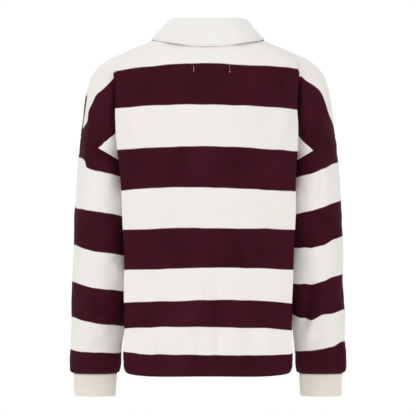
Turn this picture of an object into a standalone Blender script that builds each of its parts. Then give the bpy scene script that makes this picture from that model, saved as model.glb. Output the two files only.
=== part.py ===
"""A long-sleeved polo shirt with dropped shoulders, hollow, in the pose of a wearer whose arms hang down.

Sizes in the tables are millimetres; meshes are metres, +Z up. The front faces -Y and the wearer's left
is +X. The origin is where the wearer's shoulders carry the shirt, in the middle of the neck opening.
"""

import math

import bmesh
import bpy
import numpy as np
from mathutils import Matrix, Vector

MM = 0.001
SHIRT = "polo_shirt"

CLOTH = 1.8  # wall of the heavy jersey
COLLAR_CLOTH = 2.2  # two layers of twill
RIB_CLOTH = 2.4  # cuff, folded double
SEAM_GAP = 0.3
SEAM_SLIP = 1  # quads by which the left shoulder seam has slipped round the arm to the back
UNDERARM_EASE = 2.0  # how far back and front stop short of the point where four walls would meet

FOLD_ROUND = 2.4  # how flat the middle of the back and front stays before it curves to the side
HIP_TUCK = 12.0  # how far the cloth turns in behind the crisp fold at each side
HEM_LIFT = 20.0  # how far the hem's corners turn up at the folds
HEM_SWEEP = 0.35  # the share of it that is a broad sweep

PLACKET_WIDTH = 32.0  # the slit in the front, which runs from the neck to the underarm's level
PLACKET_LAP = 2.0  # how far the upper band laps the front beside and below its slit
BUTTON_DROPS = {"button_top": 24, "button_middle": 68, "button_bottom": 112}  # below the neck's edge
BUTTON_OUTLINE = (  # half of its section: distance from its middle, height
    (0.0, 1.7),
    (3.4, 1.8),
    (4.1, 2.4),
    (5.1, 2.6),
    (5.7, 2.0),
    (5.7, 0.6),
    (5.1, 0.0),
    (0.0, 0.0),
)
BUTTON_HOLE = 1.7
BUTTON_HOLES_APART = 2.6

BODY_COLUMNS = (7, 4, 9)  # quads from centre to fold, fold to side, side to shoulder seam
BODY_ROWS = (15, 11)  # quads from neck to underarm, underarm to hem
SLEEVE_QUADS = (18, 14)  # round, along
COLLAR_QUADS = (22, 9)  # each half round the neck, over the fold
CUFF_QUADS = (22, 3)
BAND_QUADS = (2, 12)  # across, down
BUTTON_SIDES = 20

CREAM = (0.88, 0.86, 0.81)
BURGUNDY = (0.045, 0.010, 0.017)
RIB = (0.78, 0.72, 0.66)
SHELL = (0.80, 0.76, 0.70)


def table(columns, *rows):
    """Columns by name, from one row of numbers for each section."""
    return dict(zip(columns.split(), np.array(rows, float).T))


# Sections of the back from neck (row 0) past the underarm (row 1) to the hem (row 2): the centre line,
# and the crisp fold at its side with its drop below the centre and both folds' lean to the wearer's left.
BACK = table(
    "row   centre_y centre_z fold_x fold_y fold_drop fold_lean",
    (0.00,    66,      13,     50,    47,    -2,        0),
    (0.12,    80,      -6,     80,    60,    -3,        0),
    (0.25,    91,     -26,    130,    61,     1,        1),
    (0.31,    95,     -35,    156,    57,     5,      2.4),
    (0.36,    98,     -42,    164.5,  54,     8,      3.5),
    (0.45,   103,     -62,    163.5,  54,     8,      3.4),
    (0.55,   108,     -86,    162.5,  60,     7,        3),
    (0.65,   112,    -110,    161.5,  66,     5,      2.8),
    (0.75,   114,    -134,    160.5,  69,     5,      2.2),
    (0.85,   115,    -160,    159.5,  72,     5,      1.6),
    (1.00,   113,    -205,    157,    75,     5,      0.6),
    (1.15,   109,    -262,    154,    76,     5,       -1),
    (1.33,   102,    -329,    151.5,  76,     3,     -1.6),
    (1.51,    99,    -397,    149,    76,     5,     -0.9),
    (1.66,   100,    -454,    148,    77,     7,     -0.5),
    (1.78,   102,    -500,    148.4,  78,     6,     -0.2),
    (1.91,   104,    -550,    149.2,  78,     5,        0),
    (2.00,   105.5,  -589.5,  149,    73,     5,        0),
)

# The same sections of the front.
FRONT = table(
    "row   centre_y centre_z fold_x fold_y fold_drop",
    (0.00,   -76,     -58,     44,   -64,   -22),
    (0.12,   -84,     -72,     72,   -72,   -22),
    (0.25,   -94,     -88,    110,   -76,   -24),
    (0.36,  -102,    -102,    146,   -70,   -22),
    (0.45,  -108,    -114,    160,   -68,   -18),
    (0.55,  -114,    -130,    161,   -76,   -12),
    (0.65,  -119,    -146,    161,   -82,    -6),
    (0.75,  -122,    -162,    160,   -86,    -2),
    (0.85,  -124,    -178,    159.5, -89,     1),
    (1.00,  -125.5,  -205,    157,   -91,     5),
    (1.15,  -125,    -262,    154,   -90,     5),
    (1.33,  -119,    -329,    151.5, -86,     4),
    (1.51,  -113,    -397,    149.5, -83,     5),
    (1.66,  -111,    -454,    148,   -81,     5),
    (1.78,  -111,    -500,    148.5, -80,     5),
    (1.91,  -112,    -550,    149,   -79,     5),
    (2.00,  -113,    -589.5,  149,   -74,     5),
)

# Down the shoulder seam from the neck to the armhole.
SHOULDER_SEAM = table(
    "row    x      y      z",
    (0.00,  72,   -4,    18),
    (0.12, 100,   -4,     8),
    (0.25, 130,   -3,    -4),
    (0.36, 159,   -2,   -16.5),
    (0.45, 179,   -1,   -26),
    (0.55, 196.5,  0,   -39),
    (0.65, 210,    1,   -57.5),
    (0.75, 218.3,  2,   -85),
    (0.85, 222.6,  2.5, -115),
    (0.93, 226,    3,   -140),
    (1.00, 229,    3,   -165),
)

# Where the back meets the arm, and how the curve from there to the shoulder seam leaves and arrives.
ARM_BACK = table(
    "row   side_x side_y side_z in_x in_y in_z out_y out_z",
    (0.00,   54,    44,    15,    9,  -12,   2,   18,    -5),
    (0.12,   84,    57,    -3,   10,  -10,   2,   25,    -5),
    (0.25,  133.5,  59,   -28,   10,   -8,   3,   28,    -7),
    (0.31,  156,    53,   -43,    9,   -1,   7,   27,    -8),
    (0.36,  158,    47,   -59,    9,    5,  10,   26,    -9),
    (0.45,  162,    40,   -80,    4,   17,  12,   31,   -12),
    (0.55,  159,    34,  -106,    4,   38,  14,   42,   -18),
    (0.65,  156.5,  30,  -135,    5,   50,  14,   54,   -22),
    (0.75,  154,    24,  -160,    6,   60,  12,   66,   -22),
    (0.85,  151,    15,  -182,    7,   70,  10,   74,   -18),
    (0.93,  147.6,   7,  -199,    8,   77,   8,   79,   -12),
    (1.00,  146.5,   1,  -213,    8,   83,   5,   82,    -6),
)

# The same for the front.
ARM_FRONT = table(
    "row   side_x side_y side_z in_x in_y in_z out_y out_z",
    (0.00,   48,   -61,   -32,   10,   10,  13,  -20,    -6),
    (0.12,   76,   -70,   -46,   10,   12,  16,  -26,    -8),
    (0.25,  114,   -73,   -60,    9,   10,  15,  -30,    -9),
    (0.36,  149,   -66,   -79,    8,   -2,  15,  -31,   -10),
    (0.45,  160,   -54,  -100,    4,  -20,  16,  -36,   -14),
    (0.55,  158,   -48,  -124,    4,  -34,  18,  -45,   -19),
    (0.65,  156,   -41,  -148,    5,  -44,  16,  -55,   -22),
    (0.75,  154,   -31,  -168,    6,  -56,  13,  -66,   -22),
    (0.85,  151,   -20,  -187,    7,  -66,  10,  -74,   -18),
    (0.93,  147.6,  -9,  -201,    8,  -74,   8,  -79,   -12),
    (1.00,  146.5,   1,  -213,    8,  -80,   5,  -80,    -6),
)

# Down the side seam from the underarm to the hem.
SIDE_SEAM = table(
    "row    x      y     z",
    (1.00, 146.5,  1,  -213),
    (1.15, 139,    1,  -262),
    (1.33, 136,    1,  -329),
    (1.51, 134,    1,  -397),
    (1.78, 133,    1,  -498),
    (1.91, 134,    1,  -542),
    (2.00, 137,    1,  -569),
)

# Sections of a sleeve from the armhole (0) to the cuff seam (1): its outer and inner lines, the reach of
# the curve between them behind and in front, and how far the right one has ridden up.
SLEEVE = table(
    "along  out_x  out_y out_z   in_x   in_y  in_z  back front out_lift in_lift",
    (0.00,  229,     3,  -165,   146.5,   1,  -213,  83,  80,     0,      0),
    (0.06,  231,     3,  -186,   146,     2,  -226,  82,  80,     0,      0),
    (0.15,  233.7,   3,  -215,   145,     3,  -243,  78,  79,     1,      0),
    (0.32,  238.2,   4,  -285,   142.5,   4,  -306,  72,  76,     8,      2),
    (0.48,  241.2,   5,  -357,   141.5,   4,  -377,  67,  73,    14,      8),
    (0.63,  243.6,   1,  -424,   143.5,   0,  -442,  61,  67,    14,     10),
    (0.78,  245.4,  -7,  -488,   151,    -8,  -505,  56,  60,    13,      9),
    (0.90,  247.6, -15,  -548,   157.5, -15,  -554,  50,  52,     9,      3),
    (0.965, 249.6, -20,  -579,   158.5, -20,  -580,  44,  45,     2,      1),
    (0.985, 248.6, -21,  -588,   160.5, -21,  -588,  40,  41,     1,      0),
    (1.00,  243.6, -22,  -592.5, 165,   -22, -592.5, 32,  33,     0,      0),
)

CUFF = table(
    "along  out_x  in_x    y      z    back front",
    (0.0,   243.4, 165.2, -22.5, -593.2, 31,  32),
    (0.4,   242.2, 166.2, -23.5, -606,   30,  31),
    (1.0,   242.0, 167.4, -25,   -633.5, 29,  30),
)

# The collar's half from the centre back (0) to its front edge (1): foot of the stand, top fold, and edge.
COLLAR = table(
    "round foot_x foot_y foot_z  top_x top_y top_z  edge_x edge_y edge_z",
    (0.00,   0,     61.4,  11.2,   0,    64,   40.8,   0,    88,   -10),
    (0.16,  25.5,   57.5,  11.8,  28,    60.4,   41.8,    31,    85,    -8.5),
    (0.32,  46.2,   43.2,  13.5,  52,    44.6,   43.3,  66,    74.5,  -1.5),
    (0.46,  62.6,   21,    15.8,  69.5,  18,   42,    91,    43,     5.5),
    (0.56,  68,     -3,    15.8,  71.8,  -7,   36.8, 102,     0,    10.8),
    (0.68,  63.2,  -30,     3,    66,   -33,   24,    99,   -42,    -4.5),
    (0.80,  49.5,  -52.5, -20,    51,   -56,    1,    87,   -76,   -40),
    (0.90,  28.5,  -66.5, -42,    30,   -70,  -17,    71,   -92,   -68),
    (1.00,   2,    -72.2, -57,     5,   -76,  -29,    52,  -101,   -92),
)

# Largest folds of the back and front: a soft ridge (or trough, below 0) from one end to the other.
BODY_FOLDS = table(
    "face hand_x  top_z  foot_x  foot_z  width height",
    (1,    9,     -395,    4,    -560,    12,    3.0),
    (1,   -6,     -500,   -2,    -585,     7,   -2.0),
    (1,  104,     -470,  134,    -515,    12,   -2.5),
    (1,  118,     -530,  125,    -587,     9,    2.5),
    (1,   88,     -535,  100,    -587,     9,   -2.5),
    (1,  -60,     -500,  -64,    -587,    12,    2.5),
    (1, -110,     -530, -118,    -587,    10,   -2.0),
    (-1, -70,     -420,  -78,    -587,    14,    3.0),
    (-1, -40,     -470,  -38,    -587,    12,   -2.5),
    (-1,  62,     -400,   70,    -587,    14,    3.0),
    (-1, 100,     -500,  108,    -587,    10,   -2.5),
)

# Largest folds of the sleeves, by the angle round the arm (0 outside, 90 back) and the height.
SLEEVE_FOLDS = table(
    "hand start_turn start  end_turn  end  width height",
    (1,     48,      0.00,    42,    0.16,   9,   3.5),
    (1,    110,      0.22,    70,    0.50,  16,   2.5),
    (1,     95,      0.62,    60,    0.74,  14,  -3.0),
    (-1,    80,      0.00,    84,    0.28,  12,   3.5),
    (-1,    52,      0.00,    60,    0.30,  12,  -3.0),
    (-1,    62,      0.30,    66,    0.50,  14,   3.5),
    (-1,    66,      0.54,   112,    0.80,  14,   6.5),
    (-1,   118,      0.54,   140,    0.72,  14,  -6.0),
    (-1,    40,      0.60,    70,    0.82,  14,  -3.5),
)


def smooth(at, places, values):
    """A cubic through the values, with each slope taken from its neighbours."""
    at = np.asarray(at, float)
    slopes = np.gradient(values, places)
    low = np.clip(np.searchsorted(places, at, side="right") - 1, 0, len(places) - 2)
    step = places[low + 1] - places[low]
    part = np.clip((at - places[low]) / step, 0, 1)
    rest = 1 - part
    return (
        (1 + 2 * part) * rest**2 * values[low]
        + (1 + 2 * rest) * part**2 * values[low + 1]
        + part * rest * step * (rest * slopes[low] - part * slopes[low + 1])
    )


def read(section, name, at):
    """One column of a table at any place along it."""
    return smooth(at, next(iter(section.values())), section[name])


def point(x, y, z):
    return np.stack(np.broadcast_arrays(x, y, z), axis=-1).astype(float)


def bezier(part, start, leave, arrive, end):
    part = np.asarray(part)[..., None]
    rest = 1 - part
    return rest**3 * start + 3 * rest**2 * part * leave + 3 * rest * part**2 * arrive + part**3 * end


def ridge(x, z, x0, z0, x1, z1, width, height):
    """Height of one fold at (x, z): round across, and fading to nothing at its ends."""
    run = math.hypot(x1 - x0, z1 - z0)
    along = ((x - x0) * (x1 - x0) + (z - z0) * (z1 - z0)) / run**2
    across = ((x - x0) * (z1 - z0) - (z - z0) * (x1 - x0)) / run
    fade = np.clip(1.15 - np.abs(2 * along - 1), 0, 0.5) * 2
    return height * np.exp(-((across / width) ** 2)) * fade * fade * (3 - 2 * fade)


def body_folds(face, x, z):
    total = np.zeros_like(x)
    for side, x0, z0, x1, z1, width, height in zip(*BODY_FOLDS.values()):
        if side == face:
            total = total + ridge(x, z, x0, z0, x1, z1, width, height)
    return total


def line(section, names, at):
    """A point for each place along a table, from three of its columns."""
    return point(*(read(section, name, at) for name in names.split()))


def side_line(face, row):
    """Where a panel turns from the body to the arm, and below the underarm its side seam."""
    upper = line(ARM_BACK if face > 0 else ARM_FRONT, "side_x side_y side_z", np.minimum(row, 1))
    lower = line(SIDE_SEAM, "x y z", np.maximum(row, 1))
    return np.where(np.asarray(row)[..., None] <= 1, upper, lower)


def upper_arm(face, hand, row, part):
    """The curve from the side line (part 0) round the arm or over the shoulder to its seam (1)."""
    section = ARM_BACK if face > 0 else ARM_FRONT
    side, seam = side_line(face, row), line(SHOULDER_SEAM, "x y z", row)
    leave = side + line(section, "in_x in_y in_z", row)
    arrive = seam + point(0, read(section, "out_y", row), read(section, "out_z", row))
    return bezier(part, side, leave, arrive, seam) * (hand, 1, 1)


def body(face, hand, row, column):
    """Outer face of the back (face 1) or front (-1), on the wearer's left (hand 1) or right (-1).

    row 0 is the neck, 1 the underarm, 2 the hem; column 0 is the centre, 1 the fold, 2 the side, 3 the
    shoulder seam.
    """
    section = BACK if face > 0 else FRONT
    centre_y, centre_z = read(section, "centre_y", row), read(section, "centre_z", row)
    fold_x, fold_y = read(section, "fold_x", row), read(section, "fold_y", row)
    if face > 0:
        fold_x = fold_x + hand * read(BACK, "fold_lean", row)
    fold_z = centre_z - read(section, "fold_drop", row)
    corner = HEM_LIFT * np.clip((row - 1.85) / 0.15, 0, 1) ** 1.5
    across = np.clip(column, 0, 1)
    sweep = HEM_SWEEP * across**5 + (1 - HEM_SWEEP) * across**60
    x = fold_x * across
    y = centre_y + (fold_y - centre_y) * across**FOLD_ROUND
    z = centre_z + (fold_z - centre_z) * across**2 + corner * sweep
    y = y + face * body_folds(face, hand * x, z) * np.clip(8 - 8 * across, 0, 1)
    panel = point(hand * x, y, z)

    fold = point(fold_x, fold_y, fold_z + corner)
    side = side_line(face, row)
    reach = np.abs(fold[..., 1] - side[..., 1])
    slope = 0.3 * (fold[..., 2] - side[..., 2])
    tuck = HIP_TUCK * np.clip((row - 0.36) / 0.5, 0, 1)
    leave = fold + point(-tuck, -0.12 * face * reach, -slope)
    arrive = side + point(0.12 * tuck, 0.4 * face * reach, slope)
    wall = bezier(np.clip(column - 1, 0, 1), fold, leave, arrive, side) * (hand, 1, 1)

    arm = upper_arm(face, hand, np.minimum(row, 1), np.clip(column - 2, 0, 1))
    column = np.broadcast_to(column, x.shape)[..., None]
    return np.where(column <= 1, panel, np.where(column <= 2, wall, arm))


def sleeve(hand, along, turn):
    """Outer face of a sleeve: turn 0 is outside, 0.25 behind, 0.5 at the body, 0.75 in front."""
    lift = 1.0 if hand < 0 else 0.0
    out = point(
        read(SLEEVE, "out_x", along),
        read(SLEEVE, "out_y", along),
        read(SLEEVE, "out_z", along) + lift * read(SLEEVE, "out_lift", along),
    )
    inner = point(
        read(SLEEVE, "in_x", along),
        read(SLEEVE, "in_y", along),
        read(SLEEVE, "in_z", along) + lift * read(SLEEVE, "in_lift", along),
    )
    edge = np.clip(1 - along / 0.06, 0, 1)  # 1 at the armhole, where the sleeve takes the body's curve
    behind = turn < 0.5
    reach = np.where(behind, read(SLEEVE, "back", along), -read(SLEEVE, "front", along))
    way = np.where(behind, 1.0, -1.0)
    leave = inner + point(8 * edge, reach, 5 * edge)
    arrive = out + point(0 * along, reach - way * edge, -6 * edge)
    part = np.where(behind, 1 - 2 * turn, 2 * turn - 1)
    surface = bezier(part, inner, leave, arrive, out)
    middle = (out + inner) / 2
    outward = surface - middle
    outward[..., 2] = 0
    outward /= np.linalg.norm(outward, axis=-1, keepdims=True)
    surface = surface + outward * sleeve_folds(hand, along, turn)[..., None]
    return surface * (hand, 1, 1)


def sleeve_folds(hand, along, turn):
    degrees, drop = turn * 360, along * 430
    total = np.zeros(np.broadcast(along, turn).shape)
    for side, turn0, along0, turn1, along1, width, height in zip(*SLEEVE_FOLDS.values()):
        if side == hand:
            total = total + ridge(degrees, drop, turn0, along0 * 430, turn1, along1 * 430, width, height)
    return total


def cuff(hand, along, turn):
    behind = turn < 0.5
    out = point(read(CUFF, "out_x", along), read(CUFF, "y", along), read(CUFF, "z", along))
    inner = point(read(CUFF, "in_x", along), read(CUFF, "y", along), read(CUFF, "z", along))
    reach = np.where(behind, read(CUFF, "back", along), -read(CUFF, "front", along))
    part = np.where(behind, 1 - 2 * turn, 2 * turn - 1)
    step = point(0, reach, 0)
    return bezier(part, inner, inner + step, out + step, out) * (hand, 1, 1)


def collar(hand, round_neck, over):
    """Outer face of the collar's half: over 0 is the foot of the stand, 1 the top fold, 2 the edge."""
    foot, top, edge = (
        point(*(read(COLLAR, f"{name}_{axis}", round_neck) for axis in "xyz"))
        for name in ("foot", "top", "edge")
    )
    rise = point(0, 0, np.broadcast_to(9.0, round_neck.shape))
    stand = bezier(np.clip(over, 0, 1), foot, foot + rise, top - rise, top)
    fall = bezier(np.clip(over - 1, 0, 1), top, top + rise, edge + 0.35 * (top - edge), edge)
    over = np.broadcast_to(over, round_neck.shape)[..., None]
    return np.where(over <= 1, stand, fall) * (hand, 1, 1)


def steps(*stops):
    """Places along a side: (start, end, quads) for each stretch, with shared ends once."""
    places = [np.linspace(start, end, quads + 1) for start, end, quads in stops]
    return np.concatenate([places[0]] + [more[1:] for more in places[1:]])


def material(name, colour, roughness):
    found = bpy.data.materials.get(name) or bpy.data.materials.new(name)
    found.use_nodes = True
    shader = found.node_tree.nodes["Principled BSDF"]
    shader.inputs["Base Color"].default_value = (*colour, 1)
    shader.inputs["Roughness"].default_value = roughness
    shader.inputs["Metallic"].default_value = 0
    return found


def place(name, mesh, colour, roughness, collection):
    piece = bpy.data.objects.new(name, mesh)
    mesh.materials.append(material(name, colour, roughness))
    collection.objects.link(piece)
    return piece


def cloth(name, points, wall, colour, collection, closed=False, dropped=()):
    """A cloth wall through a grid of points, its thickness on the inside. closed joins the last column
    to the first; dropped lists the quads left out."""
    rows, columns = points.shape[:2]
    mesh = bmesh.new()
    grid = [[mesh.verts.new(points[i, j] * MM) for j in range(columns)] for i in range(rows)]
    for i in range(rows - 1):
        for j in range(columns if closed else columns - 1):
            if (i, j) in dropped:
                continue
            k = (j + 1) % columns
            mesh.faces.new((grid[i][j], grid[i][k], grid[i + 1][k], grid[i + 1][j]))
    bmesh.ops.delete(mesh, geom=[v for v in mesh.verts if not v.link_faces], context="VERTS")
    data = bpy.data.meshes.new(name)
    mesh.to_mesh(data)
    mesh.free()
    data.shade_smooth()
    piece = place(name, data, colour, 0.85, collection)
    shell = piece.modifiers.new("Wall", "SOLIDIFY")
    shell.thickness = wall * MM
    shell.offset = -1
    shell.use_even_offset = False
    return piece


def shoulder_ease(face, row):
    """Half the gap at the shoulder seam, wide enough for the walls that lean together below it."""
    section = ARM_BACK if face > 0 else ARM_FRONT
    out_y, out_z = read(section, "out_y", row), read(section, "out_z", row)
    return SEAM_GAP / 2 + CLOTH * np.abs(out_z) / np.hypot(out_y, out_z)


def body_half(face, hand):
    """Points of half a panel from the centre to the shoulder seam, and its number of quads on the arm."""
    centre, wall, arm = BODY_COLUMNS
    upper, lower = BODY_ROWS
    slip = SEAM_SLIP if hand > 0 else 0
    quads = arm - face * slip
    rows = steps((0, 1, upper), (1, 2, lower))
    row, column = np.meshgrid(rows, steps((0, 1, centre), (1, 2, wall), (2, 3, quads)), indexing="ij")
    if face < 0:  # the first line of quads ends at the placket's slit
        slit = (PLACKET_WIDTH / 2 + SEAM_GAP) / read(FRONT, "fold_x", rows)
        column[:, 1 : centre + 1] = slit[:, None] + (1 - slit[:, None]) * np.linspace(0, 1, centre)
    low = np.clip((row - 0.4) / 0.25, 0, 1)
    column = column - face * slip / arm * low * low * (3 - 2 * low) * np.clip(column - 2, 0, 1)
    points = body(face, hand, row, np.minimum(column, 3))
    past_seam = column > 3 + 1e-9
    points[past_seam] = body(-face, hand, row, 6 - column)[past_seam]

    side = centre + wall
    points[upper:, side, 1] += face * SEAM_GAP / 2
    points[upper, side, 1] += face * UNDERARM_EASE
    back_off = points[: upper + 1, -2] - points[: upper + 1, -1]
    back_off /= np.linalg.norm(back_off, axis=-1, keepdims=True)
    points[: upper + 1, -1] += back_off * shoulder_ease(face, rows[: upper + 1])[:, None]
    return points, quads


def body_grid(face):
    """Points of a whole panel, from the wearer's right shoulder seam to the left, and the quads below
    the underarm that belong to no panel."""
    upper, lower = BODY_ROWS
    (left, left_arm), (right, right_arm) = body_half(face, 1), body_half(face, -1)
    points = np.concatenate([right[:, :0:-1], left], axis=1)
    last = points.shape[1] - 1
    gone = list(range(right_arm)) + list(range(last - left_arm, last))
    return points, {(i, j) for i in range(upper, upper + lower) for j in gone}


def add_back(collection):
    points, dropped = body_grid(1)
    return cloth("back_panel", points, CLOTH, BURGUNDY, collection, dropped=dropped)


def add_front(collection):
    points, dropped = body_grid(-1)
    middle = BODY_COLUMNS[0] + BODY_COLUMNS[1] + BODY_COLUMNS[2]
    dropped |= {(i, j) for i in range(BODY_ROWS[0]) for j in (middle - 1, middle)}
    last = points.shape[1] - 1
    dropped = {(i, last - 1 - j) for i, j in dropped}
    return cloth("front_panel", points[:, ::-1], CLOTH, BURGUNDY, collection, dropped=dropped)


def front_strip(half_width, top, foot, lift):
    """Points of a strip down the middle of the front, moved out from it by lift."""
    across, down = BAND_QUADS
    rows = np.linspace(top, foot, down + 1)
    row, x = np.meshgrid(rows, np.linspace(-half_width, half_width, across + 1), indexing="ij")
    flat = body(-1, 1, row, np.abs(x) / read(FRONT, "fold_x", row))
    flat[..., 0] = x
    ahead = body(-1, 1, row + 0.01, np.abs(x) / read(FRONT, "fold_x", row)) - flat
    normal = point(0, ahead[..., 2], -ahead[..., 1])
    normal /= np.linalg.norm(normal, axis=-1, keepdims=True)
    return flat + normal * lift, normal


def add_placket(collection):
    clear = 0.006  # of a row: the seam's gap at the ends of the bands
    under, _ = front_strip(PLACKET_WIDTH / 2 - SEAM_GAP / 2, clear, 1 - clear, 0)
    cloth("placket_under", under[:, ::-1], CLOTH, CREAM, collection)
    upper, _ = front_strip(PLACKET_WIDTH / 2 + PLACKET_LAP, clear, 1.01, CLOTH + SEAM_GAP)
    cloth("placket_upper", upper[:, ::-1], CLOTH, CREAM, collection)


def add_button(name, drop, collection, cutters):
    start = read(FRONT, "centre_z", 0)
    rows = np.linspace(0, 1, 201)
    row = np.interp(drop, start - read(FRONT, "centre_z", rows), rows)
    upper, normal = front_strip(1, row, row + 0.01, CLOTH + 2 * SEAM_GAP)
    seat, facing = upper[0, 1], normal[0, 1]

    outline = bpy.data.meshes.new(name)
    ends = [(across * MM, 0, high * MM) for across, high in BUTTON_OUTLINE]
    outline.from_pydata(ends, [(i, i + 1) for i in range(len(ends) - 1)], [])
    button = place(name, outline, SHELL, 0.3, collection)
    turn = button.modifiers.new("Turn", "SCREW")
    turn.steps = turn.render_steps = BUTTON_SIDES
    turn.use_merge_vertices = True
    turn.merge_threshold = 0.0001
    turn.use_smooth_shade = True

    holes = bmesh.new()
    for x, y in ((1, 1), (1, -1), (-1, 1), (-1, -1)):
        spot = Vector((x, y, 0)) * BUTTON_HOLES_APART / 2 * MM
        bmesh.ops.create_cone(
            holes,
            cap_ends=True,
            segments=8,
            radius1=BUTTON_HOLE / 2 * MM,
            radius2=BUTTON_HOLE / 2 * MM,
            depth=10 * MM,
            matrix=Matrix.Translation(spot),
        )
    drill_mesh = bpy.data.meshes.new(f"{name}_holes")
    holes.to_mesh(drill_mesh)
    holes.free()
    drill = bpy.data.objects.new(f"{name}_holes", drill_mesh)
    cutters.objects.link(drill)
    drill.hide_render = True
    drill.display_type = "WIRE"
    cut = button.modifiers.new("Holes", "BOOLEAN")
    cut.object = drill
    cut.operation = "DIFFERENCE"
    for piece in (button, drill):
        piece.location = Vector(seat) * MM
        piece.rotation_euler = Vector(facing).to_track_quat("Z", "Y").to_euler()
    return button


def add_sleeve(name, hand, collection):
    around, down = SLEEVE_QUADS
    start = 0.0024  # the seam's gap below the armhole
    along, turn = np.meshgrid(
        np.linspace(start, 1, down + 1), np.arange(around) / around, indexing="ij"
    )
    points = sleeve(hand, along, turn)
    return cloth(name, points[:, ::-hand], CLOTH, BURGUNDY, collection, closed=True)


def add_cuff(name, hand, collection):
    around, down = CUFF_QUADS
    along, turn = np.meshgrid(np.linspace(0, 1, down + 1), np.arange(around) / around, indexing="ij")
    points = cuff(hand, along, turn)
    return cloth(name, points[:, ::-hand], RIB_CLOTH, RIB, collection, closed=True)


def add_collar(collection):
    around, over = COLLAR_QUADS
    places, heights = np.meshgrid(np.linspace(0, 1, around + 1), steps((0, 1, 4), (1, 2, over - 4)))
    left, right = collar(1, places, heights), collar(-1, places, heights)
    points = np.concatenate([right[:, :0:-1], left], axis=1)
    return cloth("collar", points, COLLAR_CLOTH, CREAM, collection)


def main():
    for old in list(bpy.data.objects):
        bpy.data.objects.remove(old)
    collection = bpy.data.collections.new(SHIRT)
    bpy.context.scene.collection.children.link(collection)
    add_back(collection)
    add_front(collection)
    for side, hand in (("left", 1), ("right", -1)):
        add_sleeve(f"sleeve_{side}", hand, collection)
        add_cuff(f"cuff_{side}", hand, collection)
    add_collar(collection)
    add_placket(collection)
    cutters = bpy.data.collections.new("cutters")
    bpy.context.scene.collection.children.link(cutters)
    for name, drop in BUTTON_DROPS.items():
        add_button(name, drop, collection, cutters)


main()
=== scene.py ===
# A long-sleeved polo shirt in burgundy and cream stripes, filled out as if worn, seen from behind.
# Surfaces are worked out in millimetres: the front faces -Y and the wearer's left is +X.
import math

import bpy
import numpy as np
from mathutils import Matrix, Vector


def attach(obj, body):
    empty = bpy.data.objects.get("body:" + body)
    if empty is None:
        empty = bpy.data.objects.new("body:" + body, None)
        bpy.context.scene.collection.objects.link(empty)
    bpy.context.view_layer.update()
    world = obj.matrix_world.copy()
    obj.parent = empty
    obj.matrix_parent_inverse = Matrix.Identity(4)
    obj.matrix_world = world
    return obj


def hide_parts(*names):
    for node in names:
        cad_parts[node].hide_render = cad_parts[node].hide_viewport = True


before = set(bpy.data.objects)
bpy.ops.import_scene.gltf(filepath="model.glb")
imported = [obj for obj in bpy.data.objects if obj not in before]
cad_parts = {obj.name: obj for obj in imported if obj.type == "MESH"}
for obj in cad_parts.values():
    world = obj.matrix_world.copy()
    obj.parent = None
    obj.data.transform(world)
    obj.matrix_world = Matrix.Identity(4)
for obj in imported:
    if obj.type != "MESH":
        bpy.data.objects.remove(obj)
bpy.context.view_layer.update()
bpy.ops.object.select_all(action="DESELECT")
mm = 0.001


class Wire:  # an output socket that can be added to, multiplied and so on
    def __init__(self, shade, socket):
        self.shade, self.socket = shade, socket

    def join(self, operation, first, second, clamp=False):
        settings = {"operation": operation, "use_clamp": clamp}
        return self.shade.node("ShaderNodeMath", settings, {0: first, 1: second})

    def __add__(self, other):
        return self.join("ADD", self, other)

    def __radd__(self, other):
        return self.join("ADD", other, self)

    def __sub__(self, other):
        return self.join("SUBTRACT", self, other)

    def __rsub__(self, other):
        return self.join("SUBTRACT", other, self)

    def __mul__(self, other):
        return self.join("MULTIPLY", self, other)

    def __rmul__(self, other):
        return self.join("MULTIPLY", other, self)

    def __truediv__(self, other):
        return self.join("DIVIDE", self, other)

    def apply(self, operation):
        return self.join(operation, self, 0.0)

    def clamped(self):
        return self.join("ADD", self, 0.0, clamp=True)


class Shade:  # a material and its Principled shader
    def __init__(self, name, **fixed):
        self.material = bpy.data.materials.new(name)
        self.material.use_nodes = True
        self.tree = self.material.node_tree
        self.surface = self.tree.nodes["Principled BSDF"]
        for socket, value in fixed.items():
            self.surface.inputs[socket.replace("_", " ")].default_value = value

    def node(self, kind, settings=None, sockets=None, output=0):
        made = self.tree.nodes.new(kind)
        for key, value in (settings or {}).items():
            setattr(made, key, value)
        for key, value in (sockets or {}).items():
            self.feed(made.inputs[key], value)
        return Wire(self, made.outputs[output])

    def feed(self, socket, value):
        if isinstance(value, Wire):
            self.tree.links.new(value.socket, socket)
        else:
            socket.default_value = value

    def mix(self, factor, first, second):
        sockets = {0: factor, 6: first, 7: second}
        return self.node("ShaderNodeMix", {"data_type": "RGBA"}, sockets, output=2)

    def noise(self, where, scale, detail=3.0, roughness=0.55):
        sockets = {"Vector": where, "Scale": scale, "Detail": detail, "Roughness": roughness}
        return self.node("ShaderNodeTexNoise", {}, sockets)

    def bumped(self, height, strength, distance):
        sockets = {"Height": height, "Strength": strength, "Distance": distance}
        return self.node("ShaderNodeBump", {}, sockets)

    def place(self):
        return self.node("ShaderNodeTexCoord", output="Object")

    def attribute(self, name):
        return self.node("ShaderNodeAttribute", {"attribute_name": name}, output="Fac")

    def finish(self, **varying):
        for socket, value in varying.items():
            self.feed(self.surface.inputs[socket.replace("_", " ")], value)
        return self.material


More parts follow.
